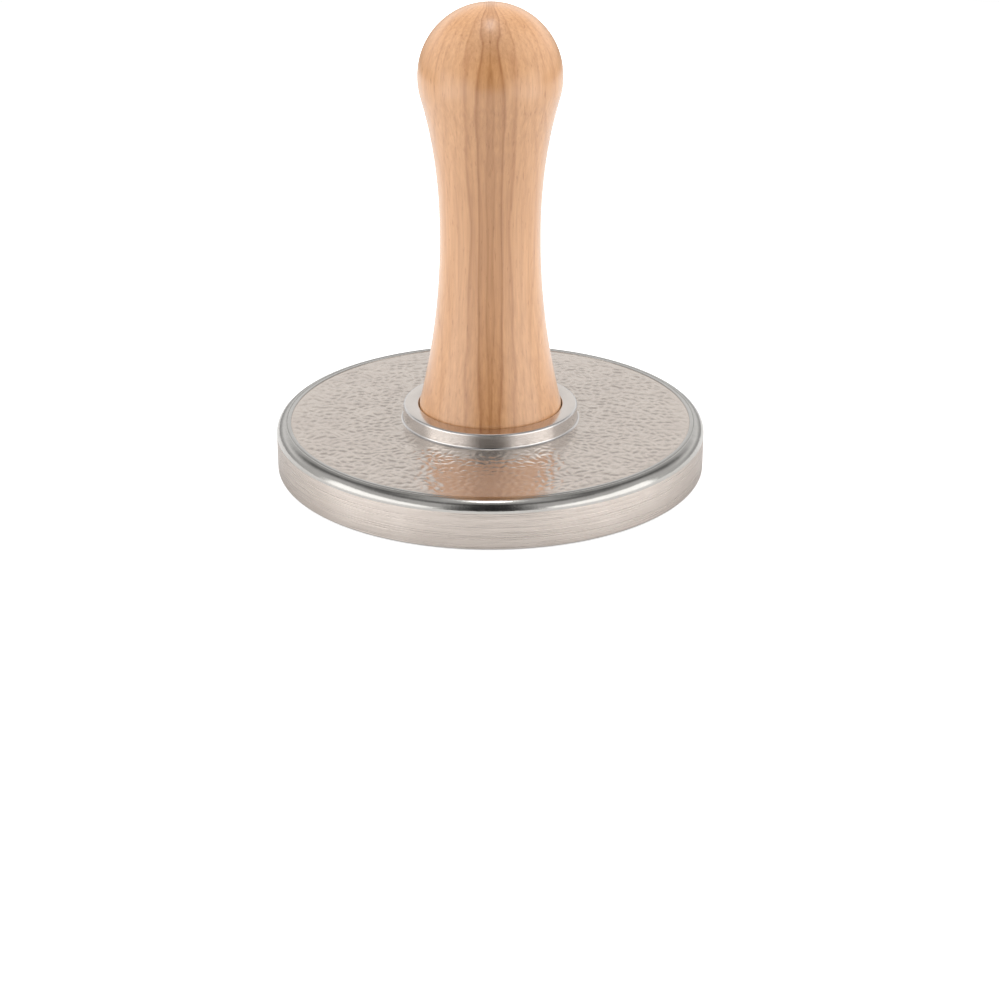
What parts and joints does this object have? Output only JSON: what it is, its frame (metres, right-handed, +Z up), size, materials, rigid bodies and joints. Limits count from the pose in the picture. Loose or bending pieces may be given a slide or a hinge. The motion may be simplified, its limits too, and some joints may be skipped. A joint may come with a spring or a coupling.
{
  "type": "cookie stamp",
  "caption": "Round metal cookie stamp with a daisy cut into its face, a leather-grained back with a socket ring, and a waisted wooden handle that screws into it.",
  "frame": {"origin": "middle of the stamping face's plane, which is the lowest point of the object", "axes": "+Z up along the handle's axis, away from the face; the daisy's ribs stand at 8 degrees and every 36 degrees from +X"},
  "size_m": [0.076, 0.076, 0.0812],
  "materials": {
    "plated_shell": "bright warm nickel plating; leather grain on the back, turned side wall, polished socket ring",
    "cast_die": "as cast, mottled light grey with bright rib crests",
    "washer": "matte",
    "steel": "zinc plated, satin",
    "brass": "machined",
    "handle_wood": "pale beech, fine straight grain, satin lacquer"
  },
  "bodies": {
    "head": {"backing_shell": "plated_shell", "die_insert": "cast_die"},
    "washer": {"sealing_washer": "washer"},
    "handle": {"wooden_handle": "handle_wood", "threaded_insert": "brass", "stud": "steel"}
  },
  "joints": [
    {"name": "handle_rise", "type": "slide", "parent": "head", "child": "washer", "axis": [0, 0, 1], "range_m": [0, 0.005]},
    {"name": "handle_turn", "type": "hinge", "parent": "washer", "child": "handle", "pos_m": [0, 0, 0.00878], "axis": [0, 0, 1], "range_deg": [0, 1800]}
  ],
  "couplings": [
    {"joint": "handle_turn", "follows": "handle_rise", "rad_per_m": 6283.2}
  ]
}
